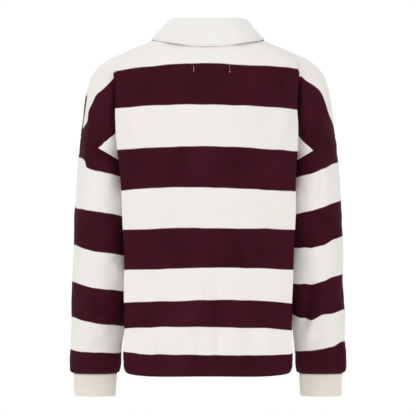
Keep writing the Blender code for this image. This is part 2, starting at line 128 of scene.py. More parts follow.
cloth = {
    "cream": (0.866, 0.849, 0.822, 1),
    "creamShade": (0.822, 0.80, 0.768, 1),
    "burgundy": (0.034, 0.0034, 0.0085, 1),
    "burgundyWorn": (0.058, 0.0085, 0.0185, 1),
    "stripeEdge": 17.0,  # how crisp a stripe's edge is
    "edgeBlush": (0.30, 0.075, 0.10, 1),  # where the two yarns lock together
    "wale": 1.35 * mm,  # one column of knit stitches
    "course": 1.05 * mm,  # one row of them
    "rib": (0.825, 0.775, 0.705, 1),
    "ribShade": (0.775, 0.72, 0.645, 1),
    "twill": (0.87, 0.86, 0.835, 1),
    "twillShade": (0.82, 0.805, 0.772, 1),
    "twillWale": 1.1 * mm,
    "twillThread": 0.6 * mm,
}


def clothWays(shade):
    # the distances across and down the cloth, in metres, and the place in the object
    weave = {"Vector": shade.node("ShaderNodeUVMap", {"uv_map": "cloth"})}
    u, v = (shade.node("ShaderNodeSeparateXYZ", {}, weave, output=way) for way in "XY")
    return u, v, shade.place()


def knitHeight(u, v):
    # one V-shaped stitch: two legs that lean to the middle of their wale
    leg = ((u / cloth["wale"]).apply("FRACT") * 2 - 1).apply("ABSOLUTE")
    turn = ((v / cloth["course"] + leg * 0.55) * (2 * math.pi)).apply("SINE")
    return turn * 0.25 + (leg * math.pi).apply("SINE") * 0.5 + 0.3


def stripedJersey():
    shade = Shade(
        "striped_jersey", Sheen_Weight=0.065, Sheen_Roughness=0.35, Sheen_Tint=(0.9, 0.45, 0.55, 1),
        Specular_IOR_Level=0.06,
    )
    u, v, place = clothWays(shade)
    wave = (shade.attribute("stripe") * math.pi).apply("SINE")  # below 0 in a burgundy stripe
    dark = (0.5 - wave * cloth["stripeEdge"]).clamped()
    stitch = knitHeight(u, v)
    broad = shade.noise(place, 14.0)
    fine = shade.noise(place, 420.0, 2.0)
    # darker at random over the cloth, and painted shade where the knit's stitches sink
    soiled_and_stitch_shade = (broad * 0.6 + fine * 0.35 - stitch * 0.15).clamped()
    worn = (broad * 1.7 + fine * 0.5 - 0.7).clamped()
    cream = shade.mix(soiled_and_stitch_shade, cloth["cream"], cloth["creamShade"])
    burgundy = shade.mix(worn, cloth["burgundy"], cloth["burgundyWorn"])
    striped = shade.mix(dark, cream, burgundy)
    return shade.finish(
        Base_Color=shade.mix(dark * (1 - dark) * 2.4, striped, cloth["edgeBlush"]),
        Roughness=0.86 + fine * 0.1 - dark * 0.06,
        Normal=shade.bumped(stitch + fine * 0.5, 0.35, 0.4 * mm),
    )


def ribKnit():
    shade = Shade("rib_knit", Sheen_Weight=0.2, Sheen_Roughness=0.5, Specular_IOR_Level=0.2)
    _, v, place = clothWays(shade)
    loops = ((v / cloth["course"]) * (2 * math.pi)).apply("SINE")
    fine = shade.noise(place, 380.0, 2.0)
    shaded = (shade.attribute("furrow") * 0.45 + fine * 0.3 - 0.05).clamped()
    return shade.finish(
        Base_Color=shade.mix(shaded, cloth["rib"], cloth["ribShade"]),
        Roughness=0.88 + fine * 0.1,
        Normal=shade.bumped(loops * 0.35 + fine * 0.6, 0.35, 0.4 * mm),
    )


def creamTwill():
    shade = Shade("cream_twill", Sheen_Weight=0.1, Sheen_Roughness=0.4, Specular_IOR_Level=0.25)
    u, v, place = clothWays(shade)
    wale = (((u + v * 1.9) / cloth["twillWale"]) * (2 * math.pi)).apply("SINE")
    thread = ((v / cloth["twillThread"]) * (2 * math.pi)).apply("SINE")
    broad = shade.noise(place, 11.0)
    fine = shade.noise(place, 500.0, 2.0)
    shaded = (broad * 0.5 + fine * 0.35 - wale * 0.08).clamped()
    return shade.finish(
        Base_Color=shade.mix(shaded, cloth["twill"], cloth["twillShade"]),
        Roughness=0.82 + fine * 0.1,
        Normal=shade.bumped(wale * 0.5 + thread * 0.15 + fine * 0.4, 0.3, 0.3 * mm),
    )


def threadShade(name, colour, shadow):
    shade = Shade(name, Sheen_Weight=0.15, Specular_IOR_Level=0.35)
    fine = shade.noise(shade.place(), 900.0, 2.0)
    return shade.finish(
        Base_Color=shade.mix(fine, colour, shadow),
        Roughness=0.55 + fine * 0.25,
        Normal=shade.bumped(fine, 0.4, 0.2 * mm),
    )


def pearlyShell():
    shade = Shade("pearly_shell", Coat_Weight=0.5, Coat_Roughness=0.12, Specular_IOR_Level=0.55)
    cloud = shade.noise(shade.place(), 160.0, 4.0)
    grain = shade.noise(shade.place(), 700.0, 2.0)
    clouded = (cloud * 1.6 - 0.3).clamped()
    return shade.finish(
        Base_Color=shade.mix(clouded, (0.84, 0.79, 0.70, 1), (0.66, 0.58, 0.47, 1)),
        Roughness=0.22 + cloud * 0.2,
        Normal=shade.bumped(grain, 0.08, 0.2 * mm),
    )


jersey, rib, twill, shell = stripedJersey(), ribKnit(), creamTwill(), pearlyShell()
creamThread = threadShade("cream_thread", (0.84, 0.81, 0.75, 1), (0.68, 0.64, 0.57, 1))
burgundyThread = threadShade("burgundy_thread", (0.060, 0.014, 0.024, 1), (0.035, 0.008, 0.014, 1))
print("materials made")


def table(columns, *rows):
    # columns by name, from one row of numbers for each section
    return dict(zip(columns.split(), np.array(rows, float).T))


def smooth(at, places, values):
    # a cubic through the values, with each slope taken from its neighbours
    at = np.asarray(at, float)
    slopes = np.gradient(values, places)
    low = np.clip(np.searchsorted(places, at, side="right") - 1, 0, len(places) - 2)
    step = places[low + 1] - places[low]
    part = np.clip((at - places[low]) / step, 0, 1)
    rest = 1 - part
    return (
        (1 + 2 * part) * rest**2 * values[low]
        + (1 + 2 * rest) * part**2 * values[low + 1]
        + part * rest * step * (rest * slopes[low] - part * slopes[low + 1])
    )


def read(section, name, at):
    return smooth(at, next(iter(section.values())), section[name])


def point(x, y, z):
    return np.stack(np.broadcast_arrays(x, y, z), axis=-1).astype(float)


def line(section, names, at):
    return point(*(read(section, name, at) for name in names.split()))


def bezier(part, start, leave, arrive, end):
    part = np.asarray(part)[..., None]
    rest = 1 - part
    ends = rest**3 * start + part**3 * end
    return ends + 3 * rest * part * (rest * leave + part * arrive)


def ease(value):
    value = np.clip(value, 0, 1)
    return value * value * (3 - 2 * value)


def ridge(distance, width):
    return np.exp(-((distance / width) ** 2))


def lengths(points, axis):
    # how far each place of a grid or a path lies from its first one, along the cloth
    far = np.cumsum(np.linalg.norm(np.diff(points, axis=axis), axis=-1), axis=axis)
    return np.concatenate([np.zeros_like(np.take(far, [0], axis=axis)), far], axis=axis)


def steps(*stops):
    # places along a side: (start, end, quads) for each stretch, with shared ends once
    places = [np.linspace(start, end, quads + 1) for start, end, quads in stops]
    return np.concatenate([places[0]] + [more[1:] for more in places[1:]])


def unit(vectors):
    return vectors / np.maximum(np.linalg.norm(vectors, axis=-1, keepdims=True), 1e-9)


back = table(
    "row centreY centreZ foldX foldY foldDrop foldLean",
    (0,    66,    13,   50,    47, -2, 0),
    (0.12, 80,    -6,   80,    60, -3, 0),
    (0.25, 91,    -26,  130,   61, 1,  1),
    (0.31, 95,    -35,  156,   57, 5,  2.4),
    (0.36, 98,    -42,  163.5, 54, 8,  2.5),
    (0.45, 103,   -62,  163,   54, 8,  2.9),
    (0.55, 108,   -86,  162.5, 60, 7,  3),
    (0.65, 112,   -110, 161.5, 66, 5,  2.8),
    (0.75, 114,   -134, 160.5, 69, 5,  2.2),
    (0.85, 115,   -160, 159.5, 72, 5,  1.6),
    (1,    113,   -205, 157,   75, 5,  0.6),
    (1.15, 109,   -262, 154,   76, 5,  -1),
    (1.33, 102,   -329, 151.5, 76, 3,  -1.6),
    (1.51, 99,    -397, 149,   76, 5,  -0.9),
    (1.66, 100,   -454, 148,   77, 7,  -0.5),
    (1.78, 102,   -500, 148.4, 78, 6,  -0.2),
    (1.91, 104,   -550, 149.2, 78, 5,  0),
    (2,    105.5, -588, 149,   73, 5,  0),
)

front = table(
    "row centreY centreZ foldX foldY foldDrop",
    (0,    -76,    -58,    44,    -64, -22),
    (0.12, -84,    -72,    72,    -72, -22),
    (0.25, -94,    -88,    110,   -76, -24),
    (0.36, -102,   -102,   146,   -70, -22),
    (0.45, -108,   -114,   160,   -68, -18),
    (0.55, -114,   -130,   161,   -76, -12),
    (0.65, -119,   -146,   161,   -82, -6),
    (0.75, -122,   -162,   160,   -86, -2),
    (0.85, -124,   -178,   159.5, -89, 1),
    (1,    -125.5, -205,   157,   -91, 5),
    (1.15, -125,   -262,   154,   -90, 5),
    (1.33, -119,   -329,   151.5, -86, 4),
    (1.51, -113,   -397,   149.5, -83, 5),
    (1.66, -111,   -454,   148,   -81, 5),
    (1.78, -111,   -500,   148.5, -80, 5),
    (1.91, -112,   -550,   149,   -79, 5),
    (2,    -113,   -589.5, 149,   -74, 5),
)

shoulderSeam = table(
    "row x y z",
    (0,    72,    -4,  18),
    (0.12, 100,   -4,  8),
    (0.25, 130,   -3,  -4),
    (0.36, 159,   -2,  -16.5),
    (0.45, 179,   -1,  -26),
    (0.55, 196.5, 0,   -39),
    (0.65, 210,   1,   -57.5),
    (0.75, 218.3, 2,   -85),
    (0.85, 222.6, 2.5, -115),
    (0.93, 226,   3,   -140),
    (1,    229,   3,   -165),
)

# where the back meets the arm, and how the curve from there to the shoulder seam leaves and arrives
backArm = table(
    "row sideX sideY sideZ inX inY inZ outY outZ",
    (0,    54,    44, 15,   9,  -12, 2,  18, -5),
    (0.12, 84,    57, -3,   10, -10, 2,  25, -5),
    (0.25, 133.5, 59, -28,  10, -8,  3,  28, -7),
    (0.31, 156,   53, -43,  9,  -1,  7,  27, -8),
    (0.36, 158,   47, -59,  9,  5,   10, 26, -9),
    (0.45, 162,   40, -80,  4,  17,  12, 31, -12),
    (0.55, 159,   34, -106, 4,  38,  14, 42, -18),
    (0.65, 156.5, 30, -135, 5,  50,  14, 54, -22),
    (0.75, 154,   24, -160, 6,  60,  12, 66, -22),
    (0.85, 151,   15, -182, 7,  70,  10, 74, -18),
    (0.93, 147.6, 7,  -199, 8,  77,  8,  79, -12),
    (1,    146.5, 1,  -213, 8,  83,  5,  82, -6),
)

frontArm = table(
    "row sideX sideY sideZ inX inY inZ outY outZ",
    (0,    48,    -61, -32,  10, 10,  13, -20, -6),
    (0.12, 76,    -70, -46,  10, 12,  16, -26, -8),
    (0.25, 114,   -73, -60,  9,  10,  15, -30, -9),
    (0.36, 149,   -66, -79,  8,  -2,  15, -31, -10),
    (0.45, 160,   -54, -100, 4,  -20, 16, -36, -14),
    (0.55, 158,   -48, -124, 4,  -34, 18, -45, -19),
    (0.65, 156,   -41, -148, 5,  -44, 16, -55, -22),
    (0.75, 154,   -31, -168, 6,  -56, 13, -66, -22),
    (0.85, 151,   -20, -187, 7,  -66, 10, -74, -18),
    (0.93, 147.6, -9,  -201, 8,  -74, 8,  -79, -12),
    (1,    146.5, 1,   -213, 8,  -80, 5,  -80, -6),
)

sideSeam = table(
    "row x y z",
    (1,    146.5, 1, -213),
    (1.15, 139,   1, -262),
    (1.33, 136,   1, -329),
    (1.51, 134,   1, -397),
    (1.78, 133,   1, -498),
    (1.91, 134,   1, -542),
    (2,    137,   1, -569),
)

# a sleeve from the armhole (0) to the cuff's seam (1): its outer and inner lines, the reach of the
# curve between them behind and in front, and how far the right one has ridden up
sleeveLines = table(
    "along outX outY outZ inX inY inZ back front outLift inLift",
    (0,     229,   3,   -165,   146.5, 1,   -213,   83, 80, 0,  0),
    (0.06,  231,   3,   -186,   146,   2,   -226,   82, 80, 0,  0),
    (0.15,  233.7, 3,   -215,   145,   3,   -243,   78, 79, 1,  0),
    (0.32,  238.2, 4,   -285,   142.5, 4,   -306,   72, 76, 8,  2),
    (0.48,  241.2, 5,   -357,   141.5, 4,   -377,   67, 73, 14, 8),
    (0.63,  243.6, 1,   -424,   143.5, 0,   -442,   61, 67, 14, 10),
    (0.78,  245.4, -7,  -488,   151,   -8,  -505,   56, 60, 13, 9),
    (0.9,   247.6, -15, -548,   157.5, -15, -554,   50, 52, 9,  3),
    (0.965, 249.6, -20, -579,   158.5, -20, -580,   44, 45, 2,  1),
    (0.985, 248.6, -21, -588,   160.5, -21, -588,   40, 41, 1,  0),
    (1,     243.6, -22, -592.5, 165,   -22, -592.5, 32, 33, 0,  0),
)

# how far down the cloth's folds have carried the stripes behind, at places evenly spaced across: on
# the body from its left fold to its right one, and on a sleeve from its inner line to its outer one
bodySway = table(
    "depth farLeft left nearLeft middle nearRight right farRight",
    (0,     0,    0,    0,    0,    0,    0,    0),
    (40.9,  2,    0.9,  -1.4, -2.3, -0.2, -0.9, -0.9),
    (112.7, 0,    -0.9, -0.7, -0.2, 1.1,  1.2,  1.6),
    (186.2, 1.2,  0,    -0.2, 0.4,  0.7,  2.1,  3),
    (257.5, 0.2,  -0.4, -0.4, 1.2,  2.3,  2.1,  1.2),
    (328.9, -0.9, -1.6, -1.4, 0.4,  0.4,  -0.9, 0),
    (397.1, 0.9,  1.6,  1.2,  0.7,  0,    -1.1, 0),
    (453.9, -0.4, 0.9,  1.8,  0.2,  -0.4, -0.4, 0.7),
    (500.4, -0.7, -0.2, 0.9,  1.2,  1.4,  0.7,  2.7),
    (549.7, -6.7, -1.9, -0.2, 1.1,  1.2,  0.2,  -1.9),
    (590,   -4,   -1,   0,    0,    0,    0,    -1.5),
)

leftSway = table(
    "along hidden inner near middle far outer",
    (0,    0,    0,    0,   0,   0,   0),
    (0.15, -2.3, -2.3, 0.5, 2.7, 0,   0),
    (0.32, 4.1,  4.1,  5.3, 6.5, 7.8, 8.8),
    (0.48, 3,    3,    4.2, 4.8, 4.4, 1.8),
    (0.63, 2.1,  2.1,  3.7, 4.2, 3,   0.9),
    (0.78, 0.9,  0.9,  2.1, 2.5, 2.3, 0.5),
    (0.9,  0.7,  0.7,  0.4, 1.2, 0.9, 0),
    (1,    0,    0,    0,   0,   0,   0),
)

rightSway = table(
    "along hidden inner near middle far outer",
    (0,    0,   0,    0,   0,   0,    0),
    (0.15, 0,   0,    2.9, 1.6, -2.7, -3),
    (0.32, 5.7, 5.7,  6.5, 5.9, 3.9,  2.6),
    (0.48, -2,  1.6,  6.5, 6.9, 1.4,  0.9),
    (0.63, -2,  1.8,  6.8, 3.8, 1.2,  1.6),
    (0.78, -11, -1.5, 4.6, 0.2, 1.6,  -0.2),
    (0.9,  0.2, 0.2,  1.4, 0.9, -0.9, -5),
    (1,    0,   0,    0,   0,   0,    0),
)

# the stripes' edges, between two places past the cloth's ends: on the body, which starts in cream,
# by how far the row lies below the origin at the centre, and on the sleeve, which starts in
# burgundy, by how far along it
bodyStripes = (-29.1, 40.9, 112.7, 186.2, 257.5, 328.9, 397.1, 453.9, 500.4, 549.7, 620)
sleeveStripes = (-0.2, 0.15, 0.32, 0.48, 0.63, 0.78, 0.90, 1.1)

# what the stripes' level has come to at the shoulder seam, behind on each side and ahead, and how
# evenly it gets there behind
seamLevel = table(
    "row left leftBend right rightBend ahead",
    (0,     -18,  1,     -18,  1,    -18),
    (0.12,  -22,  1,     -22,  1,    -6),
    (0.25,  -20,  1,     -20,  1,    4),
    (0.38,  8,    1,     6,    1,    12),
    (0.5,   -2.5, 1,     -1.5, 1,    20),
    (0.6,   -2.5, 1,     8.7,  0.9,  30),
    (0.7,   3.5,  1,     15,   0.82, 38),
    (0.8,   2,    0.98,  15.5, 0.8,  46),
    (0.9,   1,    1.087, 23,   0.8,  55),
    (0.92,  9,    1.046, 25.5, 0.8,  57),
    (0.945, 18,   1.02,  28.5, 0.8,  60),
    (0.96,  32,   0.91,  30,   0.8,  62),
    (1,     45,   0.85,  33,   0.8,  66),
)

body = {
    "foldRound": 2.4,  # how flat the middle stays before it curves to the side
    "foldStart": 0.28,  # the row where the fold at each side turns crisp
    "foldBlend": 0.06,
    "hipTuck": 12.0,  # how far the cloth turns in behind that fold
    "tuckStart": 0.36,
    "hemLift": 20.0,  # how far the hem's corners turn up at the folds
    "liftStart": 1.85,
    "seamSlip": 1 / 9,  # how far the left shoulder seam has slipped back, of the arm's curve
    "wall": 1.6,
    "seamGap": 0.3,
    "underarmGap": 1.2,
    "seamDip": 0.6,  # how deep the cloth rolls in at a seam
    "seamRoll": 3.5,  # how wide that roll is
    "quiet": 22.0,  # how far from a seam the creases fade out
    "hemStitch": 7.0,  # its height above the hem
    "hemGroove": 0.55,
    "hemSwell": 0.35,
    "slit": 16.3,  # half the slit under the placket
}

# a faint flat on the back, between the tack stitches below the collar
patch = {"x": -5, "z": -53, "halfWide": 24, "halfTall": 10, "blur": 3, "raised": 0.35}


def sideLine(face, row):
    upper = line(backArm if face > 0 else frontArm, "sideX sideY sideZ", np.minimum(row, 1))
    lower = line(sideSeam, "x y z", np.maximum(row, 1))
    return np.where(np.asarray(row)[..., None] <= 1, upper, lower)


def bodyPoint(face, hand, row, column):
    # column 0 is the centre, 1 the fold, 2 the side, 3 the shoulder seam
    section = back if face > 0 else front
    centreY, centreZ = read(section, "centreY", row), read(section, "centreZ", row)
    foldX, foldY = read(section, "foldX", row), read(section, "foldY", row)
    if face > 0:
        foldX = foldX + hand * read(back, "foldLean", row)
    foldZ = centreZ - read(section, "foldDrop", row)
    corner = body["hemLift"] * np.clip((row - body["liftStart"]) / 0.15, 0, 1) ** 1.5
    across = np.clip(column, 0, 1)
    x = foldX * across
    y = centreY + (foldY - centreY) * across ** body["foldRound"]
    z = centreZ + (foldZ - centreZ) * across**2 + corner * (0.45 * across**5 + 0.55 * across**60)
    panel = point(hand * x, y, z)

    fold = point(foldX, foldY, foldZ + corner)
    side = sideLine(face, row)
    reach = np.abs(fold[..., 1] - side[..., 1])
    slope = 0.3 * (fold[..., 2] - side[..., 2])
    tuck = body["hipTuck"] * np.clip((row - body["tuckStart"]) / 0.5, 0, 1)
    crisp = ease((row - body["foldStart"]) / body["foldBlend"])[..., None]
    straight = (1 - crisp) * (side - fold) / 3
    leave = fold + crisp * point(-tuck, -0.12 * face * reach, -slope) + straight
    arrive = side + crisp * point(0.12 * tuck, 0.4 * face * reach, slope) - straight
    wall = bezier(np.clip(column - 1, 0, 1), fold, leave, arrive, side) * (hand, 1, 1)

    arm = armCurve(face, hand, np.minimum(row, 1), np.clip(column - 2, 0, 1))
    column = np.broadcast_to(column, x.shape)[..., None]
    return np.where(column <= 1, panel, np.where(column <= 2, wall, arm))


def armCurve(face, hand, row, part):
    section = backArm if face > 0 else frontArm
    side, seam = sideLine(face, row), line(shoulderSeam, "x y z", row)
    leave = side + line(section, "inX inY inZ", row)
    arrive = seam + point(0, read(section, "outY", row), read(section, "outZ", row))
    return bezier(part, side, leave, arrive, seam) * (hand, 1, 1)


def swayAt(section, at, across):
    # across runs from 0 at the first of the section's columns to 1 at its last
    columns = np.stack([read(section, name, at) for name in list(section)[1:]])
    place = np.clip(across, 0, 1) * (len(columns) - 1)
    near = np.minimum(place.astype(int), len(columns) - 2)
    first, second = (np.take_along_axis(columns, i[None], axis=0)[0] for i in (near, near + 1))
    return first + (second - first) * ease(place - near)


def bodyStripe(face, hand, row, column):
    # which stripe a place lies in: odd numbers are burgundy
    level = -read(back if face > 0 else front, "centreZ", row)
    if face > 0:
        across = np.clip(column, 0, 1) * hand
        level = level - swayAt(bodySway, level, (1 - across) / 2) * ease(2 - column)
    upper = np.minimum(row, 1)
    behind = "left" if hand > 0 else "right"
    seam = read(seamLevel, behind if face > 0 else "ahead", upper)
    bend = read(seamLevel, f"{behind}Bend", upper) if face > 0 else 1
    level = level + (seam - level) * np.clip(column - 2, 0, 1) ** bend
    return np.interp(level, bodyStripes, np.arange(len(bodyStripes)))


def tubePoint(section, along, turn, inner, outer, leave=0, arrive=0):
    # turn 0 is outside, 0.25 behind, 0.5 at the body, 0.75 in front
    behind = turn < 0.5
    reach = np.where(behind, read(section, "back", along), -read(section, "front", along))
    reach = point(0, reach, 0)
    part = np.where(behind, 1 - 2 * turn, 2 * turn - 1)
    return bezier(part, inner, inner + (reach + leave), outer + (reach + arrive), outer)


def sleevePoint(hand, along, turn):
    lift = 1.0 if hand < 0 else 0.0
    inner, outer = (
        line(sleeveLines, f"{side}X {side}Y {side}Z", along)
        + point(0, 0, lift * read(sleeveLines, f"{side}Lift", along))
        for side in ("in", "out")
    )
    edge = np.clip(1 - along / 0.06, 0, 1)  # 1 at the armhole, where it takes the body's curve
    way = np.where(turn < 0.5, 1.0, -1.0)
    leave, arrive = point(8 * edge, 0, 5 * edge), point(0, -way * edge, -6 * edge)
    return tubePoint(sleeveLines, along, turn, inner, outer, leave, arrive) * (hand, 1, 1)


# creases on the back (1) and the front (-1), each from one place to another. Its bow bends it, its
# skew makes its first side (1) or its second (-1) the steeper, and a height below 0 is a trough
bodyCreases = table(
    "face x0 z0 x1 z1 width height bow skew",
    (1,  5,    -390, -6,   -586, 7,  5.4,  2,   -0.3),
    (1,  -16,  -415, -20,  -580, 7,  -2.6, 1,   0),
    (1,  20,   -486, 14,   -586, 6,  -3.4, 1,   0),
    (1,  28,   -470, 20,   -530, 9,  -1.8, 3,   0),
    (1,  107,  -386, 109,  -470, 6,  2,    1,   0.3),
    (1,  89,   -386, 87,   -474, 7,  2,    -2,  -0.3),
    (1,  98,   -380, 99,   -480, 6,  -1.6, 0,   0),
    (1,  96,   -456, 140,  -500, 8,  3.6,  4,   0.6),
    (1,  106,  -480, 144,  -516, 8,  -3,   3,   0),
    (1,  60,   -492, 64,   -586, 9,  2.6,  2,   0.2),
    (1,  97,   -505, 100,  -586, 5,  3.4,  1,   0.3),
    (1,  118,  -536, 124,  -590, 4,  3.6,  0,   -0.5),
    (1,  84,   -500, 87,   -586, 6,  -2.6, 1,   0),
    (1,  -50,  -500, -54,  -588, 8,  3,    2,   -0.4),
    (1,  -69,  -440, -72,  -588, 10, -2.8, 3,   0),
    (1,  -104, -490, -107, -586, 10, 2.6,  -2,  0.3),
    (1,  -40,  -400, -52,  -500, 12, 2.2,  4,   0.3),
    (1,  -82,  -2,   -122, -22,  5,  1.7,  2,   0.4),
    (1,  -76,  -8,   -130, -34,  6,  -1.3, 3,   0),
    (1,  84,   -6,   112,  -30,  6,  1.2,  -2,  0.4),
    (1,  146,  -120, 124,  -210, 11, 2.6,  8,   0.4),
    (1,  -146, -112, -124, -200, 11, 2.8,  -7,  -0.4),
    (1,  70,   -225, 84,   -330, 22, 2.4,  8,   0.2),
    (1,  -66,  -215, -90,  -350, 22, 2.4,  -10, 0.2),
    (1,  20,   -100, 14,   -240, 26, 1.8,  6,   0),
    (1,  100,  -300, 128,  -360, 14, 2.2,  5,   0.3),
    (1,  -104, -330, -132, -392, 12, 2.6,  5,   0.3),
    (-1, -70,  -400, -78,  -587, 14, 2.8,  4,   0.3),
    (-1, -44,  -450, -40,  -587, 12, -2.2, 2,   0),
    (-1, 62,   -380, 70,   -587, 14, 2.8,  -4,  -0.3),
    (-1, 100,  -480, 108,  -587, 10, -2.4, 2,   0),
    (-1, 6,    -460, 2,    -587, 12, 1.8,  3,   0.2),
    (-1, 120,  -160, 98,   -235, 12, 2,    6,   0.4),
    (-1, -122, -160, -96,  -240, 12, 2.2,  -6,  -0.4),
    (-1, 98,   -128, 60,   -190, 11, 1.4,  5,   0.3),
    (-1, -98,  -124, -58,  -196, 11, 1.5,  -5,  -0.3),
    (-1, 34,   -212, 18,   -262, 9,  1.4,  3,   0.2),
    (-1, -30,  -212, -22,  -270, 9,  1.2,  -3,  0.2),
    (-1, 116,  -460, 140,  -500, 10, 2,    3,   0.4),
    (-1, -110, -470, -140, -505, 10, 2,    -3,  -0.4),
)

armCreases = table(
    "face x0 z0 x1 z1 width height bow skew",
    (1,  208,  -96,  216.5, -232, 5,  3.4,  2,  0.5),
    (1,  199,  -110, 208,   -240, 7,  -2,   2,  0),
    (1,  176,  -130, 164,   -196, 9,  1.6,  -3, 0.2),
    (1,  183,  -375, 151,   -420, 9,  2.6,  3,  0.4),
    (1,  196,  -362, 166,   -398, 8,  -1.8, 2,  0),
    (1,  226,  -300, 214,   -352, 10, 1.4,  3,  0.2),
    (1,  232,  -470, 176,   -522, 11, 2.2,  6,  0.4),
    (1,  222,  -442, 168,   -486, 10, -2,   5,  0),
    (1,  200,  -520, 236,   -566, 9,  1.8,  -4, -0.3),
    (1,  180,  -545, 186,   -588, 7,  1.6,  1,  0.2),
    (1,  -198, -118, -196,  -176, 8,  2.8,  2,  0.3),
    (1,  -190, -186, -188,  -282, 8,  3.2,  3,  0.3),
    (1,  -211, -186, -210,  -282, 7,  2.6,  -3, -0.3),
    (1,  -200, -186, -199,  -290, 6,  -2.6, 0,  0),
    (1,  -213, -288, -212,  -368, 9,  2.8,  3,  0.3),
    (1,  -182, -296, -186,  -372, 9,  -2,   -2, 0),
    (1,  -206, -412, -187,  -492, 9,  7,    5,  0.6),
    (1,  -187, -482, -172,  -540, 10, 4,    3,  0.5),
    (1,  -181, -430, -168,  -512, 9,  -4.2, 3,  0),
    (1,  -222, -440, -200,  -505, 10, -2.6, 5,  0),
    (1,  -228, -520, -200,  -565, 10, 2,    4,  -0.3),
    (1,  -186, -550, -190,  -588, 7,  1.6,  -1, 0.2),
    (-1, 206,  -96,  188,   -190, 11, 2.4,  5,  0.3),
    (-1, 176,  -140, 160,   -200, 10, 2,    3,  0.2),
    (-1, 226,  -376, 168,   -398, 12, 3.4,  6,  0.4),
    (-1, 222,  -402, 172,   -420, 9,  -2.6, 4,  0),
    (-1, 228,  -440, 176,   -446, 11, 2.8,  6,  0.3),
    (-1, 210,  -500, 184,   -560, 11, 2.2,  3,  0.3),
    (-1, -206, -98,  -186,  -196, 11, 2.4,  -5, 0.3),
    (-1, -226, -360, -168,  -384, 12, 3.4,  -6, 0.4),
    (-1, -222, -388, -174,  -408, 9,  -2.6, -4, 0),
    (-1, -230, -420, -178,  -436, 11, 3,    -6, 0.3),
    (-1, -214, -480, -180,  -545, 12, 2.6,  -4, 0.3),
)


def creased(creases, face, x, z):
    total = np.zeros_like(x)
    for side, x0, z0, x1, z1, width, height, bow, skew in zip(*creases.values()):
        if side != face:
            continue
        run = math.hypot(x1 - x0, z1 - z0)
        along = ((x - x0) * (x1 - x0) + (z - z0) * (z1 - z0)) / run**2
        across = ((x - x0) * (z1 - z0) - (z - z0) * (x1 - x0)) / run - bow * 4 * along * (1 - along)
        uneven = 1 + 0.22 * np.sin(along * 9 + x0) + 0.12 * np.sin(along * 21 + z0)
        lean = width * uneven * (1 - 0.5 * skew * np.tanh(across / width))
        total += height * uneven * ridge(across, lean) * ease((1.1 - np.abs(2 * along - 1)) / 0.6)
    return total


def rumple(points, size, depth, seed):
    # soft hollows and swells about size apart, from waves in seeded directions
    draw = np.random.default_rng(seed)
    total = np.zeros(points.shape[:-1])
    for _ in range(14):  # which add up to about 3.7 times one of them
        way = draw.normal(size=3)
        way *= 2 * math.pi / (size * draw.uniform(0.7, 1.6)) / np.linalg.norm(way)
        total += np.sin(points @ way + draw.uniform(0, 2 * math.pi))
    return depth * total / 3.7


def waver(points):
    # how far the stripes' edges stray from their lines, as a share of a stripe
    return rumple(points, 34, 0.005, 7)


def normals(points):
    # of a grid, outwards where columns run towards the wearer's left on the back
    down, across = np.gradient(points, axis=0), np.gradient(points, axis=1)
    return unit(np.cross(across, down))


def tubeNormals(points, hand):
    wrapped = np.concatenate([points[:, -1:], points, points[:, :1]], axis=1)
    return -hand * normals(wrapped)[:, 1:-1]


def pick(*pieces):
    bpy.ops.object.select_all(action="DESELECT")
    for piece in pieces:
        piece.select_set(True)
    bpy.context.view_layer.objects.active = pieces[0]


def addObject(name, data):
    made = bpy.data.objects.new(name, data)
    bpy.context.scene.collection.objects.link(made)
    return made


def finishWith(piece, kind, **settings):
    change = piece.modifiers.new(kind.lower(), kind)
    for key, value in settings.items():
        setattr(change, key, value)
    bpy.ops.object.modifier_apply(modifier=change.name)


def sayCut(name, points, kept):
    # what the cloth measures laid flat: its area, and its widest row and longest column
    across, down = np.diff(points, axis=1), np.diff(points, axis=0)
    area = np.linalg.norm(np.cross(across[:-1], down[:, :-1]), axis=-1) * kept
    width = np.linalg.norm(across[:-1], axis=-1) * kept
    length = np.linalg.norm(down[:, :-1], axis=-1) * kept
    print(f"{name}: {area.sum() * mm**2:.4f} square metres,",
          f"{width.sum(axis=1).max() * mm:.3f} by {length.sum(axis=0).max() * mm:.3f}")


def makeCloth(name, points, wall, material, closed=False, dropped=None, edge=None, **attributes):
    # a wall through a grid of points, its thickness inside. dropped marks the quads left out, and
    # each attribute has a value for each point
    rows, columns = points.shape[:2]
    index = np.arange(rows * columns).reshape(rows, columns)
    if closed:  # the last column meets the first
        points = np.concatenate([points, points[:, :1]], axis=1)
        index = np.concatenate([index, index[:, :1]], axis=1)
    u, v = lengths(points, 1) * mm, lengths(points, 0) * mm
    if not closed:
        u = u - u[:, u.shape[1] // 2][:, None]

    def quads(grid):
        return np.stack([grid[:-1, :-1], grid[:-1, 1:], grid[1:, 1:], grid[1:, :-1]], axis=-1)

    faces = quads(index)
    keep = np.ones(faces.shape[:2], bool) if dropped is None else ~dropped
    sayCut(name, points, keep)
    faces, weave = faces[keep], np.stack([quads(u)[keep], quads(v)[keep]], axis=-1)
    used, renamed = np.unique(faces, return_inverse=True)
    faces = renamed.reshape(faces.shape)
    places = points[:, :columns].reshape(-1, 3)[used] * mm
    mesh = bpy.data.meshes.new(name)
    mesh.from_pydata(places.tolist(), [], faces.tolist())
    mesh.uv_layers.new(name="cloth").data.foreach_set("uv", weave.reshape(-1))
    for kind, values in attributes.items():
        layer = mesh.attributes.new(kind, "FLOAT", "POINT")
        layer.data.foreach_set("value", values.reshape(-1)[used].astype(np.float32))
    mesh.materials.append(material)
    piece = addObject(name, mesh)
    pick(piece)
    finishWith(piece, "SOLIDIFY", thickness=wall * mm, offset=-1)
    if edge:
        corner = math.radians(60)
        finishWith(
            piece, "BEVEL", width=edge * mm, segments=2, limit_method="ANGLE", angle_limit=corner
        )
    bpy.ops.object.shade_smooth_by_angle(angle=math.radians(50))
    return piece


